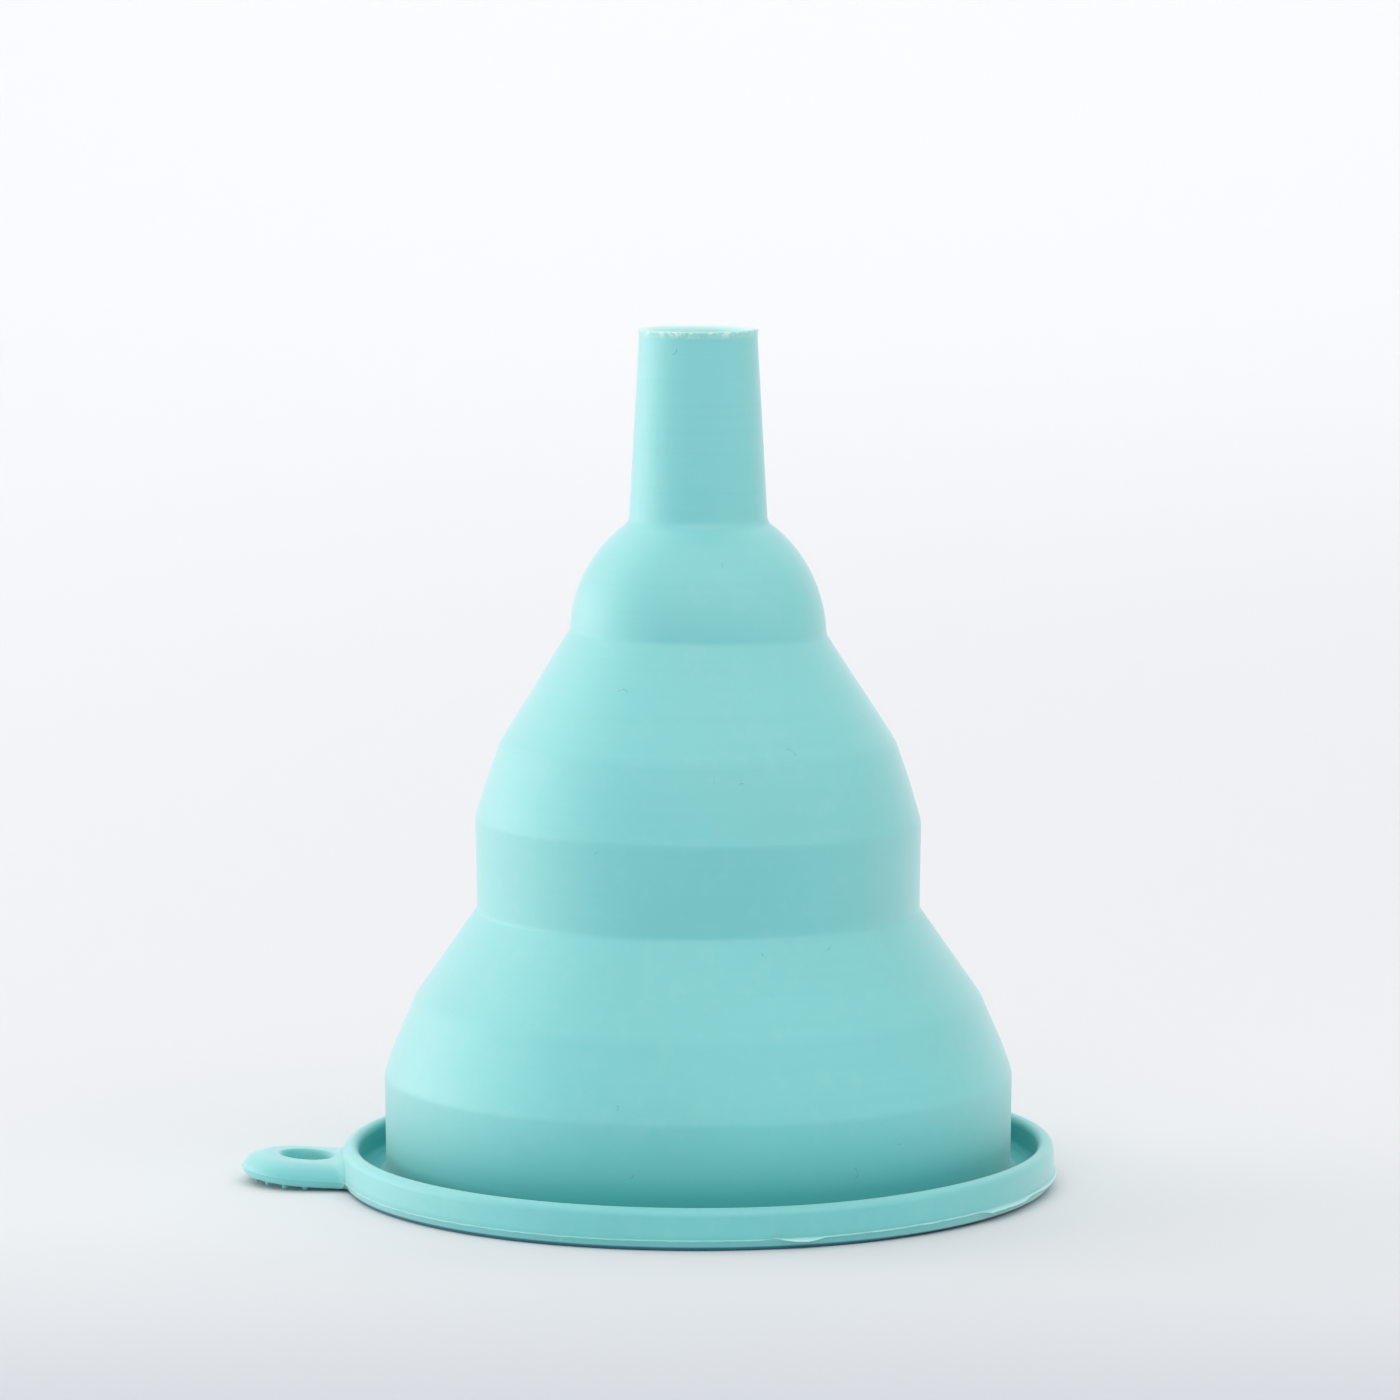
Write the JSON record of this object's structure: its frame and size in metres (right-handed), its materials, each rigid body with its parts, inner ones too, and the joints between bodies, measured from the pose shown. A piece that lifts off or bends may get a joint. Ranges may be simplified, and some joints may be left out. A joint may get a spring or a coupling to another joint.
{
  "type": "collapsible funnel",
  "caption": "Collapsible silicone bottle funnel in stepped stages, with a lipped rim, a hanging tab with a hole, a domed shoulder and a narrow tapered spout.",
  "frame": {"origin": "on the funnel's axis, in the plane of the rim's underside, which is the plane of its mouth", "axes": "+Z along the funnel's axis, from the mouth to the spout's end; the hanging tab points along -X"},
  "size_m": [0.0962, 0.0846, 0.1007],
  "materials": {
    "silicone": "soft matt silicone"
  },
  "bodies": {
    "rim_stage": {"rim_flange": "silicone", "rim_lip": "silicone", "hang_tab": "silicone", "tab_grip_dots": "silicone", "lower_wall": "silicone", "lower_bevel_band": "silicone", "lower_slope_web": "silicone"},
    "middle_stage": {"middle_wall": "silicone", "middle_bevel_band": "silicone", "middle_slope_web": "silicone"},
    "spout_stage": {"shoulder_dome": "silicone", "spout_tube": "silicone", "spout_tip_lip": "silicone"}
  },
  "joints": [
    {"name": "lower_fold", "type": "slide", "parent": "rim_stage", "child": "middle_stage", "axis": [0, 0, -1], "range_m": [0, 0.03], "deforming": ["lower_bevel_band", "lower_slope_web"]},
    {"name": "upper_fold", "type": "slide", "parent": "middle_stage", "child": "spout_stage", "axis": [0, 0, -1], "range_m": [0, 0.032], "deforming": ["middle_bevel_band", "middle_slope_web"]}
  ]
}
